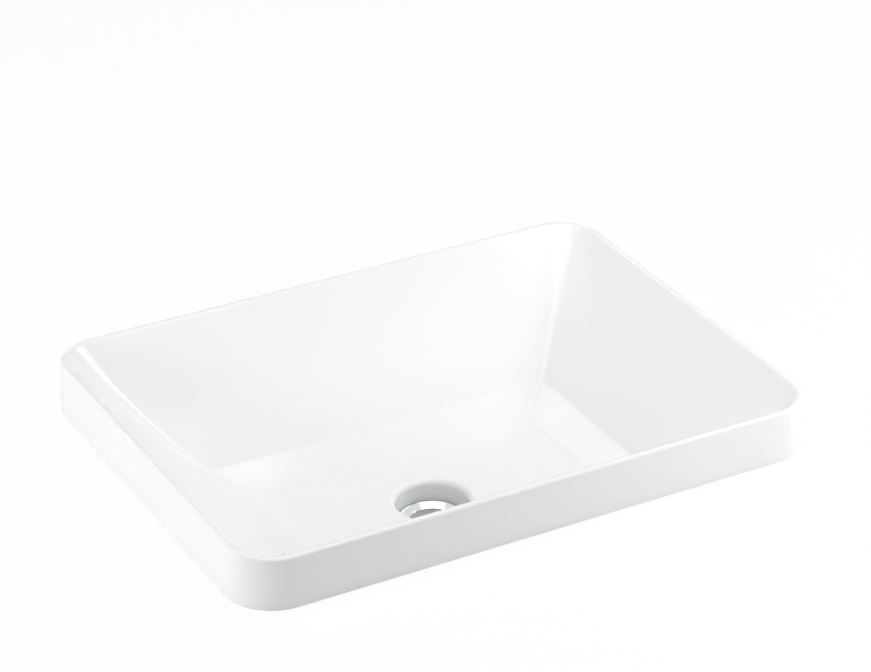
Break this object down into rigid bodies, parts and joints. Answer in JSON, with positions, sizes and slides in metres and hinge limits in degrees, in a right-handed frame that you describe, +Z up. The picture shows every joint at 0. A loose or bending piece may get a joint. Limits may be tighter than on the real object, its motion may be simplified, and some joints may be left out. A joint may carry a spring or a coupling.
{
  "type": "countertop basin",
  "caption": "Rectangular inset countertop basin of white glazed ceramic with a thin rim, sloping walls and a click waste whose plug lifts to drain.",
  "frame": {"origin": "centre of the skirt's underside, on the counter's surface", "axes": "+Z up out of the counter, +X along the basin's long side, +Y to the back"},
  "size_m": [0.55, 0.41, 0.23],
  "materials": {
    "glaze": "white gloss glaze",
    "chrome": "polished chrome plate",
    "brass": "turned",
    "steel": "drawn stainless wire and strip",
    "black_rubber": "moulded",
    "white_plastic": "moulded",
    "grey_plastic": "moulded acetal"
  },
  "bodies": {
    "basin_and_waste": {"basin": "glaze", "flange_seal": "black_rubber", "waste_body": "chrome", "underside_seal": "black_rubber", "slip_washer": "white_plastic", "backnut": "brass", "cartridge_gasket": "black_rubber", "cartridge_housing": "brass", "guide_bush": "white_plastic", "cartridge_end_cap": "brass", "click_spring": "steel"},
    "plug": {"plug_cap": "chrome", "plug_seal": "black_rubber", "plug_stem": "brass", "stem_lock_nut": "brass", "plunger": "grey_plastic", "thrust_washer": "steel"},
    "rotor": {"latch_rotor": "grey_plastic"}
  },
  "joints": [
    {"name": "plug_lift", "type": "slide", "parent": "basin_and_waste", "child": "plug", "axis": [0, 0, 1], "range_m": [0, 0.009], "deforming": ["click_spring"]},
    {"name": "rotor_turn", "type": "hinge", "parent": "plug", "child": "rotor", "pos_m": [0, -0.007, -0.135], "axis": [0, 0, 1], "range_deg": [0, 45]}
  ],
  "couplings": [
    {"joint": "rotor_turn", "follows": "plug_lift", "rad_per_m": 87.2}
  ]
}
